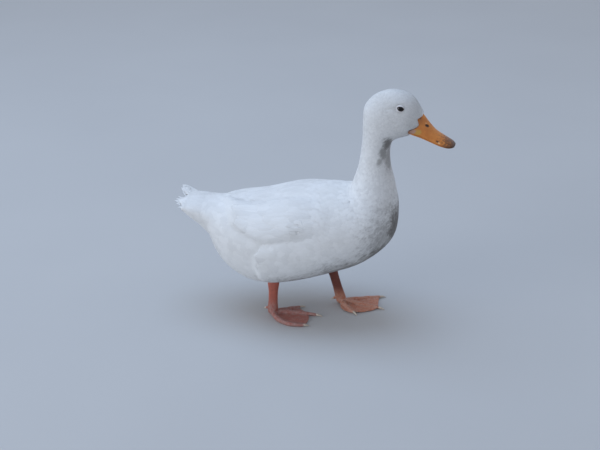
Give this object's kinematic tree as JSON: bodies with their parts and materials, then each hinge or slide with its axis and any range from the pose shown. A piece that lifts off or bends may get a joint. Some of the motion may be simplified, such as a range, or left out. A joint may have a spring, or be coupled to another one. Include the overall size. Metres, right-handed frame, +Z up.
{
  "type": "duck",
  "caption": "White domestic duck of the Pekin type, walking with its head up: full rounded body, folded wings, short fanned tail, orange bill, webbed feet.",
  "frame": {"origin": "middle of the bounding box, on the floor the duck stands on", "axes": "+X the way the duck faces, +Y its left, +Z up"},
  "size_m": [0.4138, 0.1666, 0.3599],
  "materials": {
    "plumage": "matt white feathers",
    "bill": "satin orange skin",
    "bill_nail": "smooth horn",
    "leg_skin": "scaly orange-red skin",
    "claw": "pale horn",
    "eye": "wet and dark"
  },
  "bodies": {
    "root": {"trunk": "plumage", "neck": "plumage", "tail": "plumage", "head": "plumage", "bill_upper": "bill", "bill_nail": "bill_nail", "bill_lower": "bill", "eye_left": "eye", "wing_left": "plumage", "thigh_left": "plumage", "shank_left": "leg_skin", "foot_left": "leg_skin", "claw_left_hind": "claw", "claw_left_inner": "claw", "claw_left_middle": "claw", "claw_left_outer": "claw", "eye_right": "eye", "wing_right": "plumage", "thigh_right": "plumage", "shank_right": "leg_skin", "foot_right": "leg_skin", "claw_right_hind": "claw", "claw_right_inner": "claw", "claw_right_middle": "claw", "claw_right_outer": "claw"}
  },
  "joints": []
}
